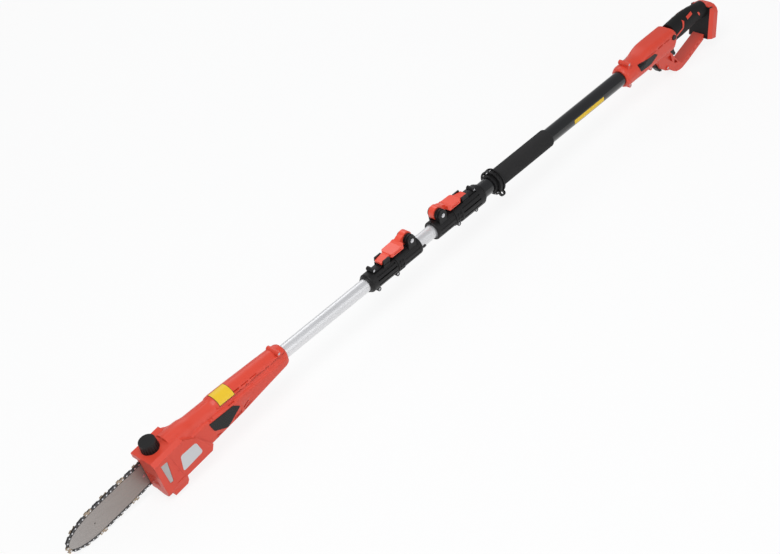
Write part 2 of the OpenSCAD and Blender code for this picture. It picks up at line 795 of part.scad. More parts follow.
bearing_y = [[-19, -14], [pinion_pitch_r + 2.2, case_y - 0.4]];
module spindle_bearings() {
    color(steel)
    at_spindle() {
        difference() {
            rod_y(8, bearing_y[0][0], bearing_y[0][1]);
            rod_y(3.05, -30, 30);
        }
        difference() {
            rod_y(11, bearing_y[1][0], bearing_y[1][1]);
            rod_y(spindle_r + 0.05, -30, 30);
        }
    }
}

sprocket_r = wrap_r - tang - 1.2;
module drive_sprocket() {
    color([0.4, 0.4, 0.42])
    at_spindle() difference() {
        union() {
            rod_y(sprocket_r - 2.4, chain_y - 2.5, chain_y + 5);
            rod_y(sprocket_r, chain_y - 1.6, chain_y + 1.6);
            rod_y(wrap_r - 4, chain_y + 4, chain_y + 5.2);
        }
        rod_y(spindle_r, -10, 60);
        for (i = [0 : sprocket_teeth - 1])
            rotate([0, i * 360 / sprocket_teeth, 0]) translate([sprocket_r + 0.8, 0, 0])
                rod_y(2.6, chain_y - 2, chain_y + 2);
    }
}

// ---------------------------------------------------------------- saw head housing

// Side outline of the head box in [x, z] of the head frame
box_len = 66;
side_outline = [[0, head_top], [box_len, head_top], [box_len + 1, 1], [92, -17], [116, -58],
    [108, -head_bottom + 1], [100, -head_bottom], [0, -head_bottom]];
cover_x = [5, 109];
cover_top = -5;
cover_low = -head_bottom - 4;

// Round barrel of the motor housing: [radius, ahead of the tube mouth]
barrel_profile = [[0, 3.5], [15.2, 3.5], [16.6, 4.5], [18.2, 8.5], [19.2, 14], [20, 40], [21.2, 100], [22.2, 178],
    [22.3, 226], [23, 233], [24.6, 241], [25, 250], [25, 285], [0, 285]];
barrel_up = 1.6;
// Bonnet over the barrel, cut off level with the side seam
bonnet_profile = [[0, 6], [17.4, 6], [19, 9], [20, 15], [20.6, 36], [21.4, 60], [22.2, 100], [23, 134],
    [23.4, 166], [22.6, 174], [20, 180], [0, 180]];
bonnet_up = 3.6;
seam_z = 14;
// Lower belly with flat sides:
// [ahead of the tube mouth, half width, top, bottom, top radius, bottom radius]
belly_table = [[245, 26.4, 8, -42, 6, 9], [215, 27, 9.8, -42, 6, 9], [204, 27, 9.5, -40.8, 6, 9],
    [168, 27, 9, -35.5, 6, 9], [132, 26, 8.5, -31.9, 6, 9], [96, 24.5, 8, -26.7, 6, 9],
    [54, 22.6, 7.5, -21.2, 6, 9], [30, 21.6, 7, -18.2, 6, 9], [14, 20.4, 6.5, -16.6, 6, 9],
    [8.2, 18.9, 5.6, -15.6, 5, 9], [4.9, 17.2, 4.6, -14.8, 5, 9]];

// A round body about an axis along X, with its profile measured back from the tube mouth
module round_body(profile, up) {
    translate([socket_x, 0, up]) rotate([0, -90, 0]) rotate_extrude() polygon(profile);
}

// Head box with its chamfered top edge and the shoulder that curves round the collar
module head_box() {
    difference() {
        slab_y(side_outline, -head_half_w, head_half_w - 0.5);
        slab_x([[-head_half_w - 1, head_top + 1], [-head_half_w - 1, -0.9], [-head_half_w + 8, head_top + 0.1],
            [-head_half_w + 8, head_top + 1]], -5, 130);
        slab_x([[-head_half_w - 1, -head_bottom - 1], [-head_half_w + 4, -head_bottom - 1],
            [-head_half_w - 1, -head_bottom + 4]], -5, 130);
        translate([box_len + 55, 0, 0.5]) cylinder(r = 57.5, h = 40);
    }
}

// Lower front chin and the lug behind it
module chin() {
    slab_x([[case_y - 1, -head_bottom + 11], [0, -head_bottom - 2], [-14, -head_bottom - 6.5],
        [-24, -head_bottom - 6], [-head_half_w + 0.4, -head_bottom - 2.5], [-head_half_w + 0.4, -40],
        [case_y - 1, -40]], 0.4, 14);
    slab_y([[12, -head_bottom - 12.5], [41, -head_bottom - 12.5], [46, -head_bottom - 7],
        [48, -head_bottom + 6], [12, -head_bottom + 6]], -head_half_w + 0.4, -6);
}

module head_outer() {
    difference() {
        union() {
            at_head() head_box();
            at_head() chin();
            intersection() {
                round_body(barrel_profile, barrel_up);
                span([socket_x - 300, -far, -6], [socket_x, far, far]);
            }
            intersection() {
                round_body(bonnet_profile, bonnet_up);
                span([socket_x - 300, -far, seam_z], [socket_x, far, far]);
            }
            skin([for (t = belly_table) socket_x - t[0]],
                [for (t = belly_table) section(t[1], t[2], t[3], t[4], t[5])]);
            // Transverse screw boss over the tube socket and the small one under it
            translate([socket_x - 23, 0, mouth_boss_z]) rod_y(5, -20, 10);
            translate([socket_x - 26, 0, -mouth_lug_z]) rod_y(4, -9, 9);
        }
        // The bar, the chain and their cover take the far side
        at_head() span([-20, case_y, -head_bottom - 20], [cover_x[1] + 0.4, 60, cover_top]);
    }
}
mouth_boss_z = 22;
mouth_lug_z = 17;

tank_low = [6, -head_half_w + shell_wall + gap, -62];
tank_high = [46, case_y - shell_wall, head_top - 9];
window = [[12, -8.5], [26, -10], [20, -53.5], [13.5, -53]];
window_cut = [[11.5, -8], [26.6, -9.6], [20.4, -54], [13.1, -53.5]];

module head_cuts() {
    // Socket for the head tube
    rod_x(slim_r, socket_x - seat_len, socket_x + 1);
    rod_x(slim_r - slim_wall, socket_x - seat_len - 12, socket_x);
    rod_x(15.5, socket_x - 205, socket_x - 90);
    at_spindle() {
        rod_x(motor_d / 2, motor_x, motor_x + motor_len);
        rod_x(motor_d / 2 - 3.6, 8, motor_x + motor_len + 12);
        // Gear chamber and bearing seats
        rod_y(gear_pitch_r + 2.2, -8, pinion_pitch_r + 2.6);
        rod_y(8, bearing_y[0][0], bearing_y[0][1] + 1);
        rod_y(11, bearing_y[1][0] - 0.4, case_y + 1);
        rod_y(3.4, -20, 30);
    }
    at_head() {
        span(tank_low - [gap, gap, gap], tank_high + [gap, 0, gap]);
        slab_y(window_cut, -head_half_w - 1, -head_half_w + 10);
        translate([cap_x, cap_y, -4]) cylinder(r = neck_r, h = 40);
        // Pump room behind the tank
        span([50, -head_half_w + shell_wall + 2, -66], [60.2, case_y - shell_wall, -46]);
        span([46, -14.2, -60.2], [50.4, -9.8, -55.8]);
        // Ribbed front below the top edge
        for (i = [0 : 7])
            span([-1, -18, -56 + 3.6 * i], [1.2, case_y - 3, -54.4 + 3.6 * i]);
        // Panel groove round the tank on the near side
        slab_y([[34, -8], [35.2, -8], [42, -58], [40.8, -58]], -head_half_w - 1, -head_half_w + 0.6);
        slab_y([[46, -64], [46, -65.2], [24, -65.2], [24, -64]], -head_half_w - 1, -head_half_w + 0.6);
        translate([37, 0, -45]) rod_y(1, -head_half_w - 1, -head_half_w + 3);
        // Stud that holds the bar
        translate([stud_x, 0, spindle_z]) rod_y(4, case_y - 4, case_y + 1);
        translate([16, 0, spindle_z + 9]) rod_y(2.4, case_y - 4, case_y + 1);
    }
    side_vents();
    screw_hole_y(socket_x - 23, mouth_boss_z, -19.6, 8);
    screw_hole_y(socket_x - 26, -mouth_lug_z, -8.6, 7);
}

// Air slots along the side seam and through the lower edge, the same on both sides:
// [x from the tube mouth, z, length, height, turn, nearest half width]
vent_table = [[-152.5, 17.8, 13, 1.6, 0, 15], [-149.5, 6.8, 15, 1.8, 0, 20], [-127.5, 17.8, 13, 2.8, 0, 14],
    [-107.5, 17.6, 17, 1.6, 0, 15], [-86, 17.6, 16, 1.6, 0, 15], [-191.5, -29.6, 11, 2, 12, 21],
    [-195.5, -34.2, 6, 2, 8, 21], [-121.5, -15.2, 15, 2.4, -25, 15], [-119.5, -21.6, 15, 2.4, -18, 15]];
module side_vents() {
    for (s = [-1, 1]) {
        for (v = vent_table)
            translate([socket_x + v[0], 0, v[1]]) rotate([0, v[4], 0])
                span([-v[2] / 2, s > 0 ? v[5] : -40, -v[3] / 2], [v[2] / 2, s > 0 ? 40 : -v[5], v[3] / 2]);
        // Half-round notch at the front of the seam
        translate([socket_x - 197.5, 0, 9.5]) rod_y(4.8, s > 0 ? 21 : -30, s > 0 ? 30 : -21);
        // Ribbed vent in the belly
        for (i = [0 : 4])
            translate([socket_x - 151 + 3.6 * i, 0, -25.6 + 0.9 * i]) rotate([0, 18, 0])
                span([-0.9, s > 0 ? 15 : -40, -3.2], [0.9, s > 0 ? 40 : -15, 3.2]);
    }
}

module motor_shell(side) {
    color(red)
    half(side) difference() {
        head_outer();
        head_cuts();
    }
}

module housing_screws() {
    color(steel) {
        screw_y(socket_x - 23, mouth_boss_z, -19.6, 8);
        screw_y(socket_x - 26, -mouth_lug_z, -8.6, 7);
    }
}

module oil_tank() {
    color([0.9, 0.9, 0.92])
    at_head() difference() {
        union() {
            span(tank_low, tank_high);
            slab_y(window, -head_half_w + 0.5, tank_low[1] + 1);
            translate([cap_x, cap_y, -4]) cylinder(r = neck_r - 0.05, h = head_top + 10);
        }
        span(tank_low + [2, 2, 2], tank_high - [2, 2, 2]);
        translate([cap_x, cap_y, -10]) cylinder(r = neck_r - 2.6, h = 40);
        // Passage beside the filler so that the bar stud's boss stays clear
        translate([stud_x, 0, spindle_z]) rod_y(6, case_y - 6, case_y);
        translate([16, 0, spindle_z + 9]) rod_y(4.4, case_y - 6, case_y);
    }
}

module oil_cap() {
    color(black)
    at_head() translate([cap_x, cap_y, head_top + gap]) difference() {
        cylinder(r1 = cap_r, r2 = cap_r - 1.3, h = oil_cap_h);
        translate([0, 0, -1]) cylinder(r = neck_r + 0.05, h = 7.4);
        for (i = [0 : 19])
            rotate([0, 0, 18 * i]) span([cap_r - 1.6, -1, 1.5], [cap_r + 3, 1, oil_cap_h - 3]);
    }
}

module oil_pump() {
    color("dimgray")
    at_head() {
        span([50.2, -head_half_w + shell_wall + 2.2, -65.8], [60, -6, -50]);
        translate([55, 0, -52]) rod_y(3, -6, case_y - shell_wall - 0.2);
        span([46.4, -14, -60], [50.2, -10, -56]);
    }
}

module sprocket_cover() {
    outline = [[cover_x[0], cover_top - gap], [72, cover_top - gap], [102, -20],
        [cover_x[1], -40], [104, -62], [88, cover_low], [14, cover_low], [cover_x[0], cover_low + 8]];
    inner = [[-5, cover_top - 2.4], [71, cover_top - 2.4], [99.8, -21.4],
        [cover_x[1] - 2.2, -40.6], [101.8, -61], [87, cover_low + 2], [-5, cover_low + 2]];
    color(red)
    at_head() difference() {
        slab_y(outline, case_y + 0.01, head_half_w + 1);
        slab_y(inner, case_y - 1, head_half_w - shell_wall + 1);
        translate([stud_x, 0, spindle_z]) rod_y(4.2, 0, 60);
        // Chip ribs on the outer face
        for (i = [0 : 5])
            translate([58 + 6 * i, 0, -52]) rotate([0, 20, 0])
                span([-1, head_half_w + 0.2, -12], [1, head_half_w + 5, 12]);
    }
    // Boss that presses the bar
    color(red)
    at_head() translate([stud_x, 0, spindle_z]) difference() {
        rod_y(9, bar_y[1] + 0.01, head_half_w);
        rod_y(4.2, 0, 60);
    }
}

module cover_nut() {
    color(steel)
    at_head() translate([stud_x, 0, spindle_z]) difference() {
        union() {
            rod_y(9, head_half_w + 1, head_half_w + 2.6);
            translate([0, head_half_w + 2.6, 0]) rotate([-90, 0, 0]) cylinder(r = 7.5, h = 6.4, $fn = 6);
        }
        rod_y(3.99, 0, 60);
    }
}

module bar_stud() {
    color(steel)
    at_head() translate([stud_x, 0, spindle_z]) rod_y(3.98, case_y - 3.8, head_half_w + 9);
}

module tension_screw() {
    color(steel)
    at_head() translate([16, 0, spindle_z + 9]) {
        rod_y(2.4, case_y - 3.8, case_y + 0.5);
        rod_y(4, case_y, bar_y[0] - 0.2);
        rod_y(2.4, bar_y[0] - 0.5, bar_y[0] + 2.6);
    }
}

// ---------------------------------------------------------------- handle

grip_x = handle_x + body_len;
foot_x = grip_x + 113.8;
core_end = foot_x + 4;
pocket = [[grip_x - 22, -3], [grip_x - 2, -3], [grip_x + 14, -12], [grip_x + 14, -46],
    [grip_x - 10, -46], [grip_x - 22, -30]];
// [behind the handle's front, half width, top, bottom, top radius, bottom radius]
body_table = [[0, 18.5, 18.5, -18.5, 18, 18], [3, 21.7, 21.9, -21.5, 21, 21],
    [9, 23.5, 24, -22.9, 22.4, 22.4], [42, 23.7, 24.5, -22.8, 22.4, 22.4],
    [50, 23.5, 23.5, -22.5, 19.5, 21], [60, 23.3, 25, -22.3, 15, 20], [72, 23, 29.1, -22, 13, 20],
    [84, 23, 31.6, -22, 12, 20], [100, 23, 32.5, -22, 12, 20], [body_len - 10, 23, 32.5, -22, 12, 20],
    [body_len - 5, 22.5, 30, -22, 12, 20], [body_len, 21.5, 26, -22, 13, 19.5]];

// Battery foot frame: x through the leaning foot, z along its face
module at_foot() {
    translate([foot_x, 0, 0]) rotate([0, foot_lean, 0]) children();
}

// Rounded rectangle in [y, z], drawn along X
module rounded_bar(half_w, z0, z1, r, x0, x1) {
    for (s = [-1, 1], z = [z0 + r, z1 - r])
        translate([x0, s * (half_w - r), z]) rotate([0, 90, 0]) cylinder(r = r, h = x1 - x0);
    span([x0, -half_w, z0 + r], [x1, half_w, z1 - r]);
    span([x0, -half_w + r, z0], [x1, half_w - r, z1]);
}

// Core of the rear grip under its rubber
module grip_core(extra) {
    rounded_bar(11, -2, 24, 6, grip_x - 6, core_end + extra);
}

top_boss = [handle_x + 15.5, 29];
low_lug = [handle_x + 19, -25.5];
belly_boss = [handle_x + 92, -25];
lock_place = [grip_x - 12, 16];
module handle_body() {
    difference() {
        skin([for (t = body_table) handle_x + t[0]], [for (t = body_table) section(t[1], t[2], t[3], t[4], t[5])]);
        // Slanted rear edge behind which the trigger stands
        slab_y([[grip_x + 1, 9], [grip_x - 4, 2], [grip_x - 17, -20], [grip_x - 17, -30],
            [grip_x + 20, -30], [grip_x + 20, 9]], -60, 60);
    }
}

module handle_outer() {
    handle_body();
    translate([top_boss[0], 0, top_boss[1]]) rod_y(5, -17, 9);
    span([top_boss[0] - 4, -15, 8], [top_boss[0] + 4, 7, top_boss[1]]);
    translate([low_lug[0], 0, low_lug[1]]) rod_y(4.5, -10, 10);
    span([low_lug[0] - 4, -10, low_lug[1]], [low_lug[0] + 4, 10, -8]);
    translate([belly_boss[0], 0, belly_boss[1]]) rod_y(4.5, -10, 10);
    grip_core(0);
}

module handle_cuts() {
    rod_x(stout_r, handle_x - 1, handle_x + handle_seat);
    // Passage behind the tube's seat, long enough for the middle tube's hidden end
    rod_x(stout_r - stout_wall, handle_x + handle_seat - 1,
        max(handle_x + handle_seat + 8, middle_x + middle_len + 4));
    // Switch room and trigger room
    span([grip_x - 76, -11, -14], [grip_x - 20, 11, 12]);
    slab_y(pocket, -trigger_half_w - gap, trigger_half_w + gap);
    translate([lock_place[0], 0, lock_place[1]]) rod_y(3.8, -60, 60);
    translate([lock_place[0], 0, lock_place[1]]) rod_y(5.9, 19.6, 60);
    translate([lock_place[0], 0, lock_place[1]]) rod_y(5.9, -60, -19.6);
    // Groove along the shoulder with its slots
    for (s = [-1, 1]) translate([0, s * body_half_w, 0]) {
        slab_y([[handle_x + 50, 12], [handle_x + 66, 19], [handle_x + 100, 19.4], [handle_x + 96, 17.6],
            [handle_x + 68, 16.6], [handle_x + 56, 11]], -1.6, 1.6);
        slab_y([[handle_x + 104, 17], [handle_x + 106, 21], [handle_x + 122, 21], [handle_x + 120, 17.4]],
            -2, 2);
        slab_y([[handle_x + 126, 18], [handle_x + 128, 21], [handle_x + 146, 21], [handle_x + 145, 18.4]],
            -2, 2);
    }
    screw_hole_y(top_boss[0], top_boss[1], -16.6, 8);
    screw_hole_y(low_lug[0], low_lug[1], -9.6, 8);
    screw_hole_y(belly_boss[0], belly_boss[1], -9.6, 8);
    translate([trigger_axis[0], 0, trigger_axis[1]]) rod_y(2, -10, 10);
}

module handle_shell(side) {
    color(red)
    half(side) difference() {
        handle_outer();
        handle_cuts();
    }
}

module handle_screws() {
    color(steel) {
        screw_y(top_boss[0], top_boss[1], -16.6, 8);
        screw_y(low_lug[0], low_lug[1], -9.6, 8);
        screw_y(belly_boss[0], belly_boss[1], -9.6, 8);
        screw_y(guard_boss[0], guard_boss[1], -guard_half_w - 1.6, 12);
    }
}

// Guard from the belly to the battery foot
guard_boss = [handle_x + 141, -51];
rest_outline = [[handle_x + 113, -30.5], [handle_x + 118, -33], [handle_x + 131, -50],
    [handle_x + 131, -55.5], [handle_x + 124, -53], [handle_x + 113, -38]];
module hand_guard() {
    low_rim = [[handle_x + 104, -10], [handle_x + 122, -44], [handle_x + 135, -54.5],
        [handle_x + 147, -57], [handle_x + 160, -69.5], [handle_x + 170, -76], [handle_x + 181, -78.6],
        [handle_x + 191, -79], [handle_x + 213, -73.5], [handle_x + 247, -62.5], [foot_x - 2, -50.5]];
    top_rim = [[foot_x - 2, -41], [grip_x + 102, -43.5], [grip_x + 38, -62.8], [grip_x + 21, -67.6],
        [grip_x + 13, -62], [grip_x - 2, -42], [grip_x - 12, -26], [grip_x - 17, -20], [grip_x - 19, -10]];
    color(red)
    difference() {
        union() {
            slab_y(concat(low_rim, top_rim), -guard_half_w, guard_half_w);
            translate([guard_boss[0], 0, guard_boss[1]]) rod_y(5, -guard_half_w - 2, guard_half_w + 2);
        }
        at_foot() span([0, -far, -far], [far, far, far]);
        handle_body();
        slab_y(pocket, -trigger_half_w - gap, trigger_half_w + gap);
        slab_y(rest_outline, -6, 6);
        screw_hole_y(guard_boss[0], guard_boss[1], -guard_half_w - 1.6, 12);
        for (s = [-1, 1]) translate([0, s * guard_half_w, 0]) {
            slab_y([[handle_x + 139, -26], [handle_x + 156, -26.5], [handle_x + 160, -46]], -5, 5);
            slab_y([[handle_x + 168, -44], [handle_x + 178, -57], [handle_x + 165, -53]], -5, 5);
            for (i = [0 : 4])
                translate([grip_x + 36 + 14 * i, 0, -66.6 + 4.3 * i]) rotate([0, -17, 0])
                    span([-3.6, -2, -1.2], [3.6, 2, 0.8]);
        }
    }
}

module rest_foot() {
    color(black)
    slab_y(rest_outline, -5.9, 5.9);
}

// Rubber grip round its core
module grip_station(x, z, half_w, half_h) {
    translate([x, 0, z]) rotate([0, 90, 0]) linear_extrude(0.5) scale([half_h, half_w])
        circle(r = 1, $fn = 32);
}
grip_table = [[0.3, 11.6, 19, 22], [29, 12.4, 19, 23.5], [52, 13.5, 18.6, 23.5], [80, 13.5, 17.6, 20.5],
    [104, 11, 17, 18], [124, 9, 17, 17.5]];
module rear_grip() {
    shift = grip_half_w - 18.5;
    color(black)
    difference() {
      union() {
        for (i = [0 : len(grip_table) - 2]) {
            a = grip_table[i];
            b = grip_table[i + 1];
            hull() {
                grip_station(grip_x + a[0], a[1], a[2] + shift, a[3]);
                grip_station(grip_x + b[0], b[1], b[2] + shift, b[3]);
            }
        }
        // Soft edge that lines the slanted rear edge of the body
        slab_y([[grip_x + 1.3, 8.6], [grip_x - 3.6, 2.2], [grip_x - 16.2, -19.4], [grip_x - 13, -21.5],
            [grip_x - 8, -14], [grip_x + 4, -9], [grip_x + 6, 8]], -15, 15);
      }
        grip_core(1);
        at_foot() span([0, -far, -far], [far, far, far]);
        slab_y(pocket, -trigger_half_w - gap, trigger_half_w + gap);
        slab_y([[grip_x - 5, -4], [grip_x + 3, -4], [grip_x + 14, -16], [grip_x + 14, -46], [grip_x - 10, -46]],
            -trigger_half_w - gap, trigger_half_w + gap);
    }
}

// Battery foot: black face inside a red shell, open at the rear for the battery's rails
foot_low = -53;
foot_top = 22;
rail_room = [foot_face_w - 4, 12];
module foot_face_shape(grow) {
    span([-1, -foot_face_w - grow, foot_low - 1], [10, foot_face_w + grow, foot_top - 4]);
}
module battery_foot() {
    color(black)
    difference() {
        union() {
            at_foot() span([0, -foot_face_w, foot_low], [10, foot_face_w, foot_top - 4]);
            // Rails that the battery slides on
            for (s = [-1, 1]) {
                at_foot() span([9, s > 0 ? 13 : -rail_room[0], foot_low + 2],
                    [12.5, s > 0 ? rail_room[0] : -13, rail_room[1] - 3]);
                at_foot() span([12, s > 0 ? 13 : -16, foot_low + 2], [17, s > 0 ? 16 : -13, rail_room[1] - 3]);
                at_foot() span([16, s > 0 ? 13 : -19, foot_low + 2], [18.5, s > 0 ? 19 : -13, rail_room[1] - 3]);
            }
        }
        grip_core(0);
    }
}

module foot_shell() {
    plan = [[0, -foot_face_w - 0.4], [8, -foot_half_w], [foot_depth, -foot_half_w], [foot_depth, foot_half_w],
        [8, foot_half_w], [0, foot_face_w + 0.4]];
    crown = [[-foot_half_w, foot_low - 1], [foot_half_w, foot_low - 1], [foot_half_w, 6],
        [foot_half_w - 3.5, 14], [foot_half_w - 11, 20], [10, foot_top], [-10, foot_top],
        [-foot_half_w + 11, 20], [-foot_half_w + 3.5, 14], [-foot_half_w, 6]];
    color(red)
    at_foot() difference() {
        intersection() {
            translate([0, 0, foot_low]) linear_extrude(foot_top - foot_low) polygon(plan);
            slab_x(crown, -1, foot_depth + 1);
        }
        span([-1, -foot_face_w, foot_low - 1], [10, foot_face_w, foot_top - 4]);
        span([9, -rail_room[0], foot_low - 1], [foot_depth + 1, rail_room[0], rail_room[1]]);
    }
}

module terminal_block() {
    color("dimgray")
    at_foot() span([10, -11, -14], [14, 11, 6]);
}

module battery_terminals() {
    color(brass)
    at_foot() for (y = [-8, -3, 3, 8])
        span([14, y - 0.4, -10], [20, y + 0.4, 2]);
}

module switch_body() {
    color([0.3, 0.3, 0.32]) {
        span([grip_x - 68, -10.9, -13.9], [grip_x - 34, 10.9, 6]);
        span([grip_x - 34, -4, -12], [grip_x - 25.5, 4, -5]);
    }
}

trigger_axis = [grip_x - 13, -9];
module trigger() {
    color(black)
    difference() {
        union() {
            slab_y([[grip_x - 17, -8], [grip_x - 13, -5.4], [grip_x - 3, -6], [grip_x + 3, -11],
                [grip_x + 5.5, -19], [grip_x + 5.5, -29], [grip_x + 10, -39], [grip_x + 6, -41.5],
                [grip_x - 1, -38], [grip_x - 8, -28], [grip_x - 13, -20]], -trigger_half_w, trigger_half_w);
        }
        translate([trigger_axis[0], 0, trigger_axis[1]]) rod_y(2.05, -10, 10);
    }
}

module trigger_pin() {
    color(steel)
    translate([trigger_axis[0], 0, trigger_axis[1]]) rod_y(2, -10, 10);
}

module lockoff_button() {
    color(black)
    translate([lock_place[0], 0, lock_place[1]]) {
        rod_y(3.4, -body_half_w - 2, body_half_w + 2);
        for (s = [-1, 1])
            translate([0, s * (body_half_w + 0.6), 0]) rod_y(5.5, -1.8, 1.8);
    }
}

// ---------------------------------------------------------------- assembly

handle_shell(-1);  // handle_shell_left
handle_shell(1);  // handle_shell_right
hand_guard();
rear_grip();
battery_foot();
foot_shell();
terminal_block();
battery_terminals();
switch_body();
trigger();
trigger_pin();
lockoff_button();
handle_screws();
rest_foot();
handle_tube();
foam_grip();
strap_ring();
strap_ring_screw();
clamp_half(2, -1);  // clamp_2_left
clamp_half(2, 1);  // clamp_2_right
clamp_lever(2);  // clamp_2_lever
clamp_bolt(2);  // clamp_2_bolt
clamp_bush(2);  // clamp_2_bush
clamp_screws(2);  // clamp_2_screws
middle_tube();
slide_bush();
stop_button();
clamp_half(1, -1);  // clamp_1_left
clamp_half(1, 1);  // clamp_1_right
clamp_lever(1);  // clamp_1_lever
clamp_bolt(1);  // clamp_1_bolt
clamp_bush(1);  // clamp_1_bush
clamp_screws(1);  // clamp_1_screws
head_tube();
motor_shell(-1);  // motor_shell_left
motor_shell(1);  // motor_shell_right
housing_screws();
motor_can();
motor_shaft();
pinion();
bevel_gear();
spindle();
spindle_bearings();
drive_sprocket();
sprocket_cover();
cover_nut();
bar_stud();
tension_screw();
guide_bar();
bar_rivet();
chain_drive_links();
chain_tie_straps();
chain_cutters();
chain_rivets();
oil_tank();
oil_cap();
oil_pump();
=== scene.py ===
# %% [markdown]
# # Telescoping pole saw
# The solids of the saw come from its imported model, so every piece already stands at its true size and
# place. This lesson dresses them: each solid gets the finish of the real material, and the thin or soft
# things that solids don't carry, such as plates, labels, grip inlays and the foam sleeve, are modelled here.

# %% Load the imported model
import json
import math
import bpy
from mathutils import Matrix, Vector


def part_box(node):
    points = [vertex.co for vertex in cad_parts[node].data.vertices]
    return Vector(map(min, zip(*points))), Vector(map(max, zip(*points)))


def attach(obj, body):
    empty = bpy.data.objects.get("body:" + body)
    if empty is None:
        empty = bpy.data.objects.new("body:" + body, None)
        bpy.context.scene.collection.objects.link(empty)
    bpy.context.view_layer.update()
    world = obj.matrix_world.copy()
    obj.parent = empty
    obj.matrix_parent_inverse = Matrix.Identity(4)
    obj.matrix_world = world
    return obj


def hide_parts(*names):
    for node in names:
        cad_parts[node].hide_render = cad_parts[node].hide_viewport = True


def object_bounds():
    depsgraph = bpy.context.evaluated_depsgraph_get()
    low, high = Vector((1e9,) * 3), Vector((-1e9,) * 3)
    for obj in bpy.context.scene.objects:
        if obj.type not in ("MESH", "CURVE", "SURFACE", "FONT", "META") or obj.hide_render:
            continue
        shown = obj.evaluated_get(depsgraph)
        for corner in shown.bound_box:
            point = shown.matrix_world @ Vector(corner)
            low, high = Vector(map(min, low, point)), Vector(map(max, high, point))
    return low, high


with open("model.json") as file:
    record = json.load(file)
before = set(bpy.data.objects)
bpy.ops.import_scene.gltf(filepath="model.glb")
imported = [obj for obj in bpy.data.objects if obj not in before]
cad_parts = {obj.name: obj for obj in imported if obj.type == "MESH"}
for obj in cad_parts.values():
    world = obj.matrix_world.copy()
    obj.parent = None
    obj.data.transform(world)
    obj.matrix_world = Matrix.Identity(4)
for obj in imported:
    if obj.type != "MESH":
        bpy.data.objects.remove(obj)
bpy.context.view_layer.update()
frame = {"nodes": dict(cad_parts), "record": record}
NODES = frame["nodes"]
MM = 0.001

# %% [markdown]
# ## Helpers for shaping
# Every tool of Blender acts on what is selected, so each helper first clears the selection and then takes
# hold of one object. Modifiers are added, set and applied in one call, which leaves a plain mesh.

# %% Selecting one object and applying a modifier
def only(obj):
    """Makes obj the one selected and active object."""
    bpy.ops.object.select_all(action="DESELECT")
    obj.select_set(True)
    bpy.context.view_layer.objects.active = obj
    return obj


def apply_modifier(obj, kind, **settings):
    """Adds a modifier to obj, sets it and applies it."""
    only(obj)
    bpy.ops.object.modifier_add(type=kind)
    modifier = obj.modifiers[-1]
    for key, value in settings.items():
        setattr(modifier, key, value)
    bpy.ops.object.modifier_apply(modifier=modifier.name)


def settle(obj, material, body):
    """Puts the place of obj into its mesh, gives it its finish and lets it ride on a body."""
    only(obj)
    bpy.ops.object.transform_apply(location=True, rotation=True, scale=True)
    bpy.ops.object.shade_smooth_by_angle(angle=math.radians(38))
    obj.data.materials.clear()
    obj.data.materials.append(material)
    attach(obj, body)
    print(obj.name, "faces:", len(obj.data.polygons))
    return obj


# %% [markdown]
# ## Finishes
# A moulded or drawn surface is never one flat colour: the tone drifts a little over the length of a part,
# the gloss changes with it, and a fine grain breaks up reflections. One recipe makes all of that from two
# noises on Object coordinates, which are in metres, so the grain keeps its true size on every piece.

# %% The recipe for a finish
def finish(name, colour, rough, metal=0.0, drift=0.05, grain=900.0, bump=0.04, stretch=(1, 1, 1), coat=0.0,
           specular=0.5):
    """A material with a slow drift of tone and a fine grain that varies the gloss. stretch turns the grain
    into streaks, and specular lowers the plain reflection of dull dark plastics."""
    material = bpy.data.materials.new(name)
    material.use_nodes = True
    nodes, links = material.node_tree.nodes, material.node_tree.links
    shader = nodes["Principled BSDF"]
    shader.inputs["Metallic"].default_value = metal
    shader.inputs["Specular IOR Level"].default_value = specular
    shader.inputs["Coat Weight"].default_value = coat
    shader.inputs["Coat Roughness"].default_value = 0.08
    place = nodes.new("ShaderNodeTexCoord")
    mapping = nodes.new("ShaderNodeMapping")
    mapping.inputs["Scale"].default_value = stretch
    links.new(place.outputs["Object"], mapping.inputs["Vector"])
    slow = nodes.new("ShaderNodeTexNoise")
    slow.inputs["Scale"].default_value = 14.0
    slow.inputs["Detail"].default_value = 3.0
    links.new(place.outputs["Object"], slow.inputs["Vector"])
    fine = nodes.new("ShaderNodeTexNoise")
    fine.inputs["Scale"].default_value = grain
    fine.inputs["Detail"].default_value = 2.0
    links.new(mapping.outputs["Vector"], fine.inputs["Vector"])
    tone = nodes.new("ShaderNodeMix")
    tone.data_type = "RGBA"
    tone.inputs["A"].default_value = [c * (1 - drift) for c in colour] + [1]
    tone.inputs["B"].default_value = [min(1, c * (1 + drift)) for c in colour] + [1]
    links.new(slow.outputs["Fac"], tone.inputs["Factor"])
    links.new(tone.outputs["Result"], shader.inputs["Base Color"])
    gloss = nodes.new("ShaderNodeMapRange")
    gloss.inputs["From Min"].default_value = 0.3
    gloss.inputs["From Max"].default_value = 0.7
    gloss.inputs["To Min"].default_value = rough * 0.85
    gloss.inputs["To Max"].default_value = min(1, rough * 1.2)
    links.new(fine.outputs["Fac"], gloss.inputs["Value"])
    links.new(gloss.outputs["Result"], shader.inputs["Roughness"])
    relief = nodes.new("ShaderNodeBump")
    relief.inputs["Strength"].default_value = bump
    relief.inputs["Distance"].default_value = 0.0002
    links.new(fine.outputs["Fac"], relief.inputs["Height"])
    links.new(relief.outputs["Normal"], shader.inputs["Normal"])
    return material


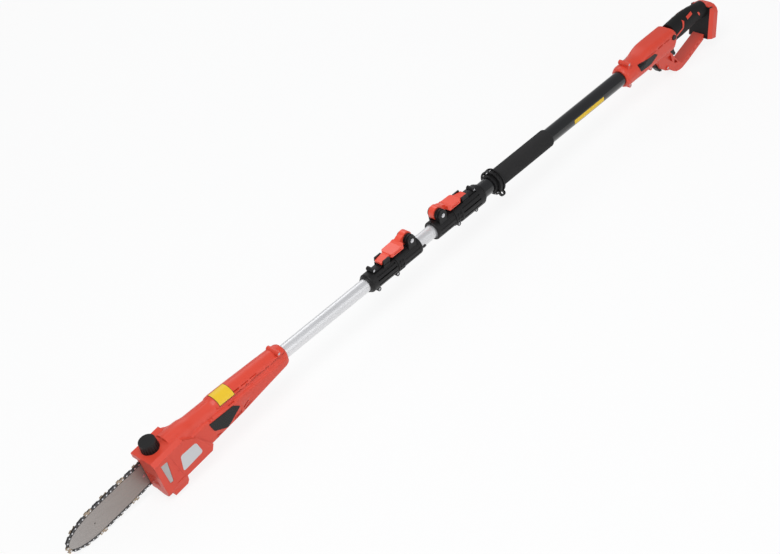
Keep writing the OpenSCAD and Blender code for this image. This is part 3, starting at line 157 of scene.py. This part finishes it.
# %% The finishes of the saw
FINISH = {
    "red_shell": finish("red_shell", (0.74, 0.060, 0.030), 0.40, drift=0.04, bump=0.06),
    "lever_red": finish("lever_red", (0.90, 0.085, 0.045), 0.32, drift=0.03),
    "black_plastic": finish("black_plastic", (0.010, 0.0095, 0.010), 0.45, drift=0.12, bump=0.10,
                            specular=0.3),
    "grey_plastic": finish("grey_plastic", (0.20, 0.20, 0.21), 0.5),
    "rubber_black": finish("rubber_black", (0.009, 0.0088, 0.009), 0.62, drift=0.12, grain=1400, bump=0.2,
                           specular=0.25),
    "foam_dark": finish("foam_dark", (0.016, 0.0155, 0.016), 0.95, drift=0.18, grain=1500, bump=0.8),
    "black_tube": finish("black_tube", (0.005, 0.005, 0.006), 0.18, drift=0.1, bump=0.01, coat=0.4),
    "silver_tube": finish("silver_tube", (0.78, 0.78, 0.79), 0.46, metal=0.85, drift=0.02, grain=30,
                          bump=0.0, stretch=(0.2, 1, 1)),
    "tank_clear": finish("tank_clear", (0.46, 0.45, 0.44), 0.42, drift=0.05, bump=0.15),
    "brass_contact": finish("brass_contact", (0.72, 0.50, 0.20), 0.3, metal=1.0),
    "bright_steel": finish("bright_steel", (0.66, 0.66, 0.68), 0.24, metal=1.0, grain=600, bump=0.05),
    "machine_steel": finish("machine_steel", (0.42, 0.42, 0.44), 0.38, metal=1.0),
    "chain_dark": finish("chain_dark", (0.10, 0.098, 0.10), 0.34, metal=0.85, drift=0.3, bump=0.1),
    "cutter_steel": finish("cutter_steel", (0.40, 0.32, 0.24), 0.34, metal=0.85, drift=0.25),
    "bar_steel": finish("bar_steel", (0.40, 0.375, 0.36), 0.42, metal=0.75, drift=0.03, grain=500,
                        bump=0.06, stretch=(0.04, 1, 1)),
}
bare_plate = finish("bare_plate", (0.62, 0.63, 0.65), 0.34, metal=0.5, drift=0.02)
bare_badge = finish("bare_badge", (0.006, 0.006, 0.006), 0.28, drift=0.1, specular=0.3)
bare_yellow = finish("bare_yellow", (0.86, 0.56, 0.015), 0.4, drift=0.03)
label_border = finish("label_border", (0.02, 0.02, 0.02), 0.5)
print("finishes:", len(FINISH) + 4)

# %% [markdown]
# ## Warmer steel toward the saw head
# Heat and sap tint a guide bar near the housing. The tint is a ramp along the bar, so it reads the piece's
# own coordinates and needs no picture.

# %% Tint at the bar's root
bar = FINISH["bar_steel"].node_tree
shader = bar.nodes["Principled BSDF"]
plain = shader.inputs["Base Color"].links[0].from_socket
place = bar.nodes.new("ShaderNodeTexCoord")
split = bar.nodes.new("ShaderNodeSeparateXYZ")
ramp = bar.nodes.new("ShaderNodeMapRange")
ramp.inputs["From Min"].default_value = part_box("guide_bar")[0][0]
ramp.inputs["From Max"].default_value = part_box("guide_bar")[1][0]
warm = bar.nodes.new("ShaderNodeMix")
warm.data_type = "RGBA"
warm.inputs["B"].default_value = (0.27, 0.215, 0.19, 1)
bar.links.new(place.outputs["Object"], split.inputs["Vector"])
bar.links.new(split.outputs["X"], ramp.inputs["Value"])
bar.links.new(ramp.outputs["Result"], warm.inputs["Factor"])
bar.links.new(plain, warm.inputs["A"])
bar.links.new(warm.outputs["Result"], shader.inputs["Base Color"])

# %% [markdown]
# ## Finishes on the solids
# The record names the finish slot of each solid. Each solid keeps its mesh and only gets the better material.

# %% Give every solid its finish
for row in frame["record"]["subparts"]:
    solid = NODES[row["node"]]
    for place_in_list in range(len(solid.material_slots)):
        solid.material_slots[place_in_list].material = FINISH[row["material_slot"]]

# %% [markdown]
# ## Smooth copies of the moulded shells
# The shells are solids made of flat strips. A copy whose loose triangles are merged can be shaded smoothly
# across shallow creases, while sharp edges stay crisp. Normals weighted by face area keep the long flat
# faces even. The copy then stands for the solid.

# %% Smooth the moulded pieces
WELD = 0.000002


def body_name(node):
    """The body that a solid belongs to."""
    return next(name for name, members in frame["record"]["behaviour"]["bodies"].items() if node in members)


def smooth_copy(node, angle):
    """A merged copy of a solid with shading that is smooth below the given crease angle."""
    solid = NODES[node]
    only(solid)
    copy = solid.copy()
    copy.data = solid.data.copy()
    copy.name = node + "_moulded"
    copy.parent = None
    bpy.context.collection.objects.link(copy)
    only(copy)
    bpy.ops.object.mode_set(mode="EDIT")
    bpy.ops.mesh.select_all(action="SELECT")
    bpy.ops.mesh.remove_doubles(threshold=WELD)
    bpy.ops.object.mode_set(mode="OBJECT")
    bpy.ops.object.shade_smooth_by_angle(angle=math.radians(angle))
    apply_modifier(copy, "WEIGHTED_NORMAL", keep_sharp=True)
    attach(copy, body_name(node))
    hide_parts(node)
    return copy


for node, angle in [("motor_shell_left", 21), ("motor_shell_right", 21), ("handle_shell_left", 21),
                    ("handle_shell_right", 21), ("rear_grip", 34)]:
    print(smooth_copy(node, angle).name)

# %% [markdown]
# ## Plates that follow a curved side
# A badge on a housing is a thin sheet that takes the curve below it. It starts as a fine grid standing beside
# the housing, each edge of the outline is cut with a bisecting plane, and the sheet is then thrown onto the
# housing along Y and given its thickness. The planes only cut convex outlines, so a bent shape is made of
# two. Points that miss the housing stay beyond its reach and are deleted.

# %% The helper for side plates
STAND_OFF = 80
REACH = 60


def side_plate(name, corners, side, target, proud, material, body):
    """A thin plate of [x, z] corners in millimetres, clockwise or not, laid on a solid's side."""
    xs = [x for x, z in corners]
    zs = [z for x, z in corners]
    middle = Vector((sum(xs) / len(xs), 0, sum(zs) / len(zs)))
    bpy.ops.object.select_all(action="DESELECT")
    bpy.ops.mesh.primitive_grid_add(
        x_subdivisions=40, y_subdivisions=24, size=1,
        location=((min(xs) + max(xs)) / 2 * MM, side * STAND_OFF * MM, (min(zs) + max(zs)) / 2 * MM),
        rotation=(math.radians(90), 0, 0))
    plate = bpy.context.object
    plate.name = name
    plate.scale = ((max(xs) - min(xs) + 2) * MM, (max(zs) - min(zs) + 2) * MM, 1)
    bpy.ops.object.transform_apply(location=True, rotation=True, scale=True)
    bpy.ops.object.mode_set(mode="EDIT")
    for (x0, z0), (x1, z1) in zip(corners, corners[1:] + corners[:1]):
        normal = Vector((z1 - z0, 0, x0 - x1)).normalized()
        if normal.dot(Vector((x0, 0, z0)) - middle) < 0:
            normal.negate()
        bpy.ops.mesh.select_all(action="SELECT")
        bpy.ops.mesh.bisect(plane_co=(x0 * MM, 0, z0 * MM), plane_no=normal, clear_outer=True)
    bpy.ops.object.mode_set(mode="OBJECT")
    apply_modifier(plate, "SHRINKWRAP", target=NODES[target], wrap_method="PROJECT", use_project_y=True,
                   use_project_x=False, use_project_z=False, use_positive_direction=side < 0,
                   use_negative_direction=side > 0)
    only(plate)
    bpy.ops.object.mode_set(mode="EDIT")
    bpy.ops.mesh.select_all(action="DESELECT")
    bpy.ops.object.mode_set(mode="OBJECT")
    for vertex in plate.data.vertices:
        vertex.select = abs(vertex.co.y) > REACH * MM
    missed = sum(vertex.select for vertex in plate.data.vertices)
    bpy.ops.object.mode_set(mode="EDIT")
    if missed:
        bpy.ops.mesh.delete(type="VERT")
    bpy.ops.mesh.select_all(action="SELECT")
    bpy.ops.transform.translate(value=(0, side * proud * MM, 0))
    bpy.ops.mesh.normals_make_consistent(inside=False)
    bpy.ops.object.mode_set(mode="OBJECT")
    apply_modifier(plate, "SOLIDIFY", thickness=0.7 * proud * MM, offset=0, use_even_offset=False)
    print(name, "points that missed the side:", missed)
    return settle(plate, material, body)


def rounded(corners, radius):
    """The same outline with each corner cut off twice, which reads as a round corner."""
    for share in (radius, radius * 0.35):
        out = []
        for i, (x, z) in enumerate(corners):
            for x1, z1 in (corners[i - 1], corners[(i + 1) % len(corners)]):
                length = math.hypot(x1 - x, z1 - z)
                cut = min(share / length, 0.45)
                out.append((x + (x1 - x) * cut, z + (z1 - z) * cut))
        corners = out
    return corners


# %% [markdown]
# ## The bare plates
# The real tool carries a rating plate on the tank side, a dark badge on the motor's belly and another on the
# handle. They are left bare here: only the plate, its edge and its sheen are modelled.

# %% Rating plate and badges
HEAD_X, HEAD_Z, HEAD_PITCH = -1202, 8, math.radians(7)


def from_head(x, z):
    """[x, z] in the saw head's own frame, in millimetres, turned into the pole's frame."""
    return (HEAD_X + x * math.cos(HEAD_PITCH) - z * math.sin(HEAD_PITCH),
            HEAD_Z + x * math.sin(HEAD_PITCH) + z * math.cos(HEAD_PITCH))


rating = [from_head(x, z) for x, z in ((51.6, -22.5), (88, -25), (92.5, -53), (44.6, -55))]
side_plate("rating_plate", rounded(rating, 3), -1, "motor_shell_left", 0.15, bare_plate, "head_unit")
badge = [(-1075, 4), (-1018.5, 3), (-1003.7, -9), (-1040, -30), (-1068.5, -16)]
side_plate("motor_badge", rounded(badge, 1.5), -1, "motor_shell_left", 0.5, bare_badge, "head_unit")
badge = [(158, 16.5), (212.6, 14.3), (222.6, 7), (197, -2.8), (162.5, -0.7)]
for side, word, target in ((-1, "near", "handle_shell_left"), (1, "far", "handle_shell_right")):
    side_plate("handle_badge_%s" % word, rounded(badge, 1.5), side, target, 0.5, bare_badge, "handle")

# %% [markdown]
# ## Red inlays in the rear grip
# The rubber grip has slim red windows of the hard core showing through it, the same on both sides. They are
# made as side plates are, on the rubber instead of the shell.

# %% Grip inlays
inlays = [[(293, 11), (298, 8), (322, 14.6), (319, 17.4)],
          [(318.6, 17), (322, 14.6), (330, 27), (326, 31)],
          [(341, 31), (362, 32), (361, 27), (340.5, 25)],
          [(377, 23), (382, 21), (384, 15), (381, 13), (378, 17)]]
for side, word in ((-1, "near"), (1, "far")):
    for i, outline in enumerate(inlays):
        side_plate("grip_inlay_%s_%d" % (word, i + 1), outline, side, "rear_grip", 0.35,
                   FINISH["red_shell"], "handle")

# %% [markdown]
# ## Labels that wrap round
# The label on the motor's bonnet bends over its shoulder, and a strip follows the black tube. Each is a grid
# whose rows are laid on the round section below, so it bends about the part's own centre line.

# %% The helper for wrapped labels
def wrapped(name, x0, x1, path, thick, material, body):
    """A sheet from x0 to x1 along the path of (y, z) points, in millimetres, with its thickness outward."""
    rows = len(path) - 1
    bpy.ops.object.select_all(action="DESELECT")
    bpy.ops.mesh.primitive_grid_add(x_subdivisions=24, y_subdivisions=rows, size=1)
    sheet = bpy.context.object
    sheet.name = name
    for vertex in sheet.data.vertices:
        y, z = path[round((vertex.co.y + 0.5) * rows)]
        vertex.co = ((x0 + (vertex.co.x + 0.5) * (x1 - x0)) * MM, y * MM, z * MM)
    only(sheet)
    bpy.ops.object.mode_set(mode="EDIT")
    bpy.ops.mesh.select_all(action="SELECT")
    bpy.ops.mesh.normals_make_consistent(inside=False)
    bpy.ops.object.mode_set(mode="OBJECT")
    outward = Vector((0, path[rows // 2][0], path[rows // 2][1]))
    middle = sheet.data.polygons[len(sheet.data.polygons) // 2]
    if middle.normal.dot(outward) < 0:
        only(sheet)
        bpy.ops.object.mode_set(mode="EDIT")
        bpy.ops.mesh.flip_normals()
        bpy.ops.object.mode_set(mode="OBJECT")
    apply_modifier(sheet, "SOLIDIFY", thickness=thick * MM, offset=1)
    return settle(sheet, material, body)


def bonnet_path(radius, centre_z, y_from, y_to, lift, steps):
    """Points over the round bonnet from y_from on the far side to y_to on the near side."""
    first = math.asin(-y_from / radius)
    last = math.asin(min(1, -y_to / radius))
    points = []
    for i in range(steps + 1):
        angle = first + (last - first) * i / steps
        points.append((-(radius + lift) * math.sin(angle), centre_z + (radius + lift) * math.cos(angle)))
    return points


# %% Bonnet label and tube strip
wrapped("bonnet_label_border", -1039.5, -1003.5, bonnet_path(23.4, 3.6, 8.4, -20.6, 0.10, 24), 0.22,
        label_border, "head_unit")
wrapped("bonnet_label", -1038.7, -1004.3, bonnet_path(23.4, 3.6, 7.6, -20.2, 0.30, 24), 0.20,
        bare_yellow, "head_unit")
tube_r = 16.0
strip_r = tube_r + 0.08
strip = [(-strip_r * math.cos(math.radians(a)), -strip_r * math.sin(math.radians(a)))
         for a in range(-14, 23, 3)]
wrapped("tube_strip", -50, 46, strip, 0.2, bare_yellow, "handle")

# %% [markdown]
# ## The foam grip
# The foam sleeve is the one soft piece of the pole. A tube of foam has a hole, softly rounded ends and a
# slightly uneven skin. A cylinder gets its end faces inset, the inner discs are taken away, the two inner
# rims are bridged into the bore, and a bevel rounds the ends.

# %% Foam sleeve
low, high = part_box("foam_grip")
foam_r = (high[2] - low[2]) / 2
foam_len = high[0] - low[0]
bpy.ops.object.select_all(action="DESELECT")
bpy.ops.mesh.primitive_cylinder_add(vertices=72, radius=foam_r, depth=foam_len, end_fill_type="NGON",
                                    location=((low[0] + high[0]) / 2, 0, 0),
                                    rotation=(0, math.radians(90), 0))
foam = bpy.context.object
foam.name = "foam_sleeve"
bpy.ops.object.mode_set(mode="EDIT")
bpy.ops.mesh.select_mode(type="FACE")
bpy.ops.mesh.select_all(action="DESELECT")
bpy.ops.object.mode_set(mode="OBJECT")
for face in foam.data.polygons:
    face.select = len(face.vertices) > 4
bpy.ops.object.mode_set(mode="EDIT")
BORE_EASE = 0.0001
bpy.ops.mesh.inset(thickness=foam_r - tube_r * MM - BORE_EASE, use_individual=True)
bpy.ops.mesh.delete(type="FACE")
bpy.ops.mesh.select_mode(type="EDGE")
bpy.ops.mesh.select_all(action="DESELECT")
bpy.ops.mesh.select_non_manifold()
bpy.ops.mesh.bridge_edge_loops()
bpy.ops.mesh.select_all(action="SELECT")
bpy.ops.mesh.normals_make_consistent(inside=False)
bpy.ops.object.mode_set(mode="OBJECT")
apply_modifier(foam, "BEVEL", width=0.0028, segments=4, limit_method="ANGLE", angle_limit=math.radians(40))
settle(foam, FINISH["foam_dark"], "handle")
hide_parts("foam_grip")

# %% [markdown]
# ## Floor, light and camera
# The saw lies on a plain white floor. The floor shows white to the camera and to mirror-like surfaces, the
# world shows white to the camera and to rays passing through a surface, while the light that falls on the saw
# stays at a plain level.

# %% Floor and world
FLOOR_GAP = 0.0005
floor_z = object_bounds()[0][2] - FLOOR_GAP
bpy.ops.object.select_all(action="DESELECT")
bpy.ops.mesh.primitive_plane_add(size=30, location=(0, 0, floor_z))
floor = bpy.context.object
floor.name = "floor"
white = bpy.data.materials.new("floor_white")
white.use_nodes = True
tree = white.node_tree
base = tree.nodes["Principled BSDF"]
base.inputs["Base Color"].default_value = (0.92, 0.92, 0.92, 1)
base.inputs["Roughness"].default_value = 0.9
path = tree.nodes.new("ShaderNodeLightPath")
glow = tree.nodes.new("ShaderNodeEmission")
glow.inputs["Color"].default_value = (1, 1, 1, 1)
glow.inputs["Strength"].default_value = 1.0
sight = tree.nodes.new("ShaderNodeMath")
sight.operation = "MAXIMUM"
tree.links.new(path.outputs["Is Camera Ray"], sight.inputs[0])
tree.links.new(path.outputs["Is Glossy Ray"], sight.inputs[1])
share = tree.nodes.new("ShaderNodeMath")
share.operation = "MULTIPLY"
share.inputs[1].default_value = 0.86
tree.links.new(sight.outputs[0], share.inputs[0])
blend = tree.nodes.new("ShaderNodeMixShader")
tree.links.new(share.outputs[0], blend.inputs["Fac"])
tree.links.new(base.outputs["BSDF"], blend.inputs[1])
tree.links.new(glow.outputs["Emission"], blend.inputs[2])
tree.links.new(blend.outputs["Shader"], tree.nodes["Material Output"].inputs["Surface"])
floor.data.materials.append(white)

world = bpy.data.worlds.new("studio")
bpy.context.scene.world = world
world.use_nodes = True
tree = world.node_tree
dim = tree.nodes["Background"]
dim.inputs["Color"].default_value = (0.95, 0.97, 1.0, 1)
dim.inputs["Strength"].default_value = 0.42
bright = tree.nodes.new("ShaderNodeBackground")
bright.inputs["Color"].default_value = (1, 1, 1, 1)
path = tree.nodes.new("ShaderNodeLightPath")
seen = tree.nodes.new("ShaderNodeMath")
seen.operation = "MAXIMUM"
tree.links.new(path.outputs["Is Camera Ray"], seen.inputs[0])
tree.links.new(path.outputs["Is Transmission Ray"], seen.inputs[1])
blend = tree.nodes.new("ShaderNodeMixShader")
tree.links.new(seen.outputs[0], blend.inputs["Fac"])
tree.links.new(dim.outputs["Background"], blend.inputs[1])
tree.links.new(bright.outputs["Background"], blend.inputs[2])
tree.links.new(blend.outputs["Shader"], tree.nodes["World Output"].inputs["Surface"])


# %% Soft lamps
def lamp(name, place, target, size, watts):
    """A square soft lamp that looks at target."""
    bpy.ops.object.light_add(type="AREA", location=place)
    light = bpy.context.object
    light.name = name
    light.data.size = size
    light.data.energy = watts
    light.rotation_euler = (Vector(target) - Vector(place)).to_track_quat("-Z", "Y").to_euler()


lamp("key", (-1.6, -0.6, 2.6), (-0.5, 0, 0), 1.6, 40)
lamp("fill", (0.2, -2.6, 1.2), (-0.4, 0, 0), 1.8, 15)
lamp("back", (0.6, 2.0, 1.8), (-0.4, 0, 0), 1.2, 12)

# %% Camera
bpy.ops.object.camera_add()
camera = bpy.context.object
camera.matrix_world = Matrix(((0.66878, 0.54774, -0.50252, -2.19176),
                              (-0.72219, 0.31842, -0.61405, -1.95450),
                              (-0.17634, 0.77365, 0.60858, 1.91099),
                              (0, 0, 0, 1)))
camera.data.sensor_width = 36
camera.data.lens = 78.922
camera.data.shift_x = -0.00077
camera.data.shift_y = 0.00095
camera.data.clip_end = 100
bpy.context.scene.camera = camera
bpy.context.scene.view_settings.view_transform = "Standard"
